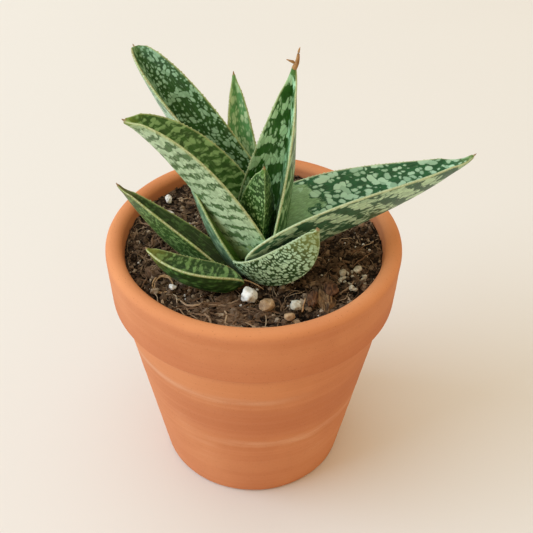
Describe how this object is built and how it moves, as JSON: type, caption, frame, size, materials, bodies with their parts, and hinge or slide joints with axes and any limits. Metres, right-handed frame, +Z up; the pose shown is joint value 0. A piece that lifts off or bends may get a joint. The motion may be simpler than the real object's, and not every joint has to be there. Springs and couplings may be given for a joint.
{
  "type": "potted aloe plant",
  "caption": "Young tiger aloe with keeled, toothed, pale-spotted leaves in a filled terracotta pot with a rim band and a drain hole.",
  "frame": {"origin": "middle of the whole plant and pot's bounding box, on the plane the pot stands on", "axes": "+Z up along the pot's axis, +X towards the side that the longest leaf reaches over, -Y towards the front"},
  "size_m": [0.1366, 0.11, 0.1816],
  "materials": {
    "terracotta": "unglazed matt",
    "soil": "crumbly matt",
    "stem": "dry matt",
    "leaf_green": "waxy satin with pale spots",
    "leaf_pale_green": "waxy satin with dark bands",
    "perlite": "porous matt",
    "brown_stone": "rough matt",
    "bark": "rough matt"
  },
  "bodies": {
    "root": {"terracotta_pot": "terracotta", "potting_soil": "soil", "aloe_stem": "stem", "leaf_heart": "leaf_green", "leaf_tall": "leaf_green", "leaf_left": "leaf_pale_green", "leaf_right": "leaf_green", "leaf_under_left": "leaf_green", "leaf_front_short": "leaf_pale_green", "leaf_back_left": "leaf_green", "leaf_back_small": "leaf_green", "leaf_front_left": "leaf_green", "leaf_low_left": "leaf_green", "perlite_large": "perlite", "stone_round": "brown_stone", "perlite_grey": "perlite", "stone_small": "brown_stone", "bark_curved": "bark", "bark_upright": "bark", "perlite_right_a": "perlite", "perlite_right_b": "perlite", "perlite_left": "perlite", "perlite_back_a": "perlite", "perlite_back_b": "perlite"}
  },
  "joints": []
}
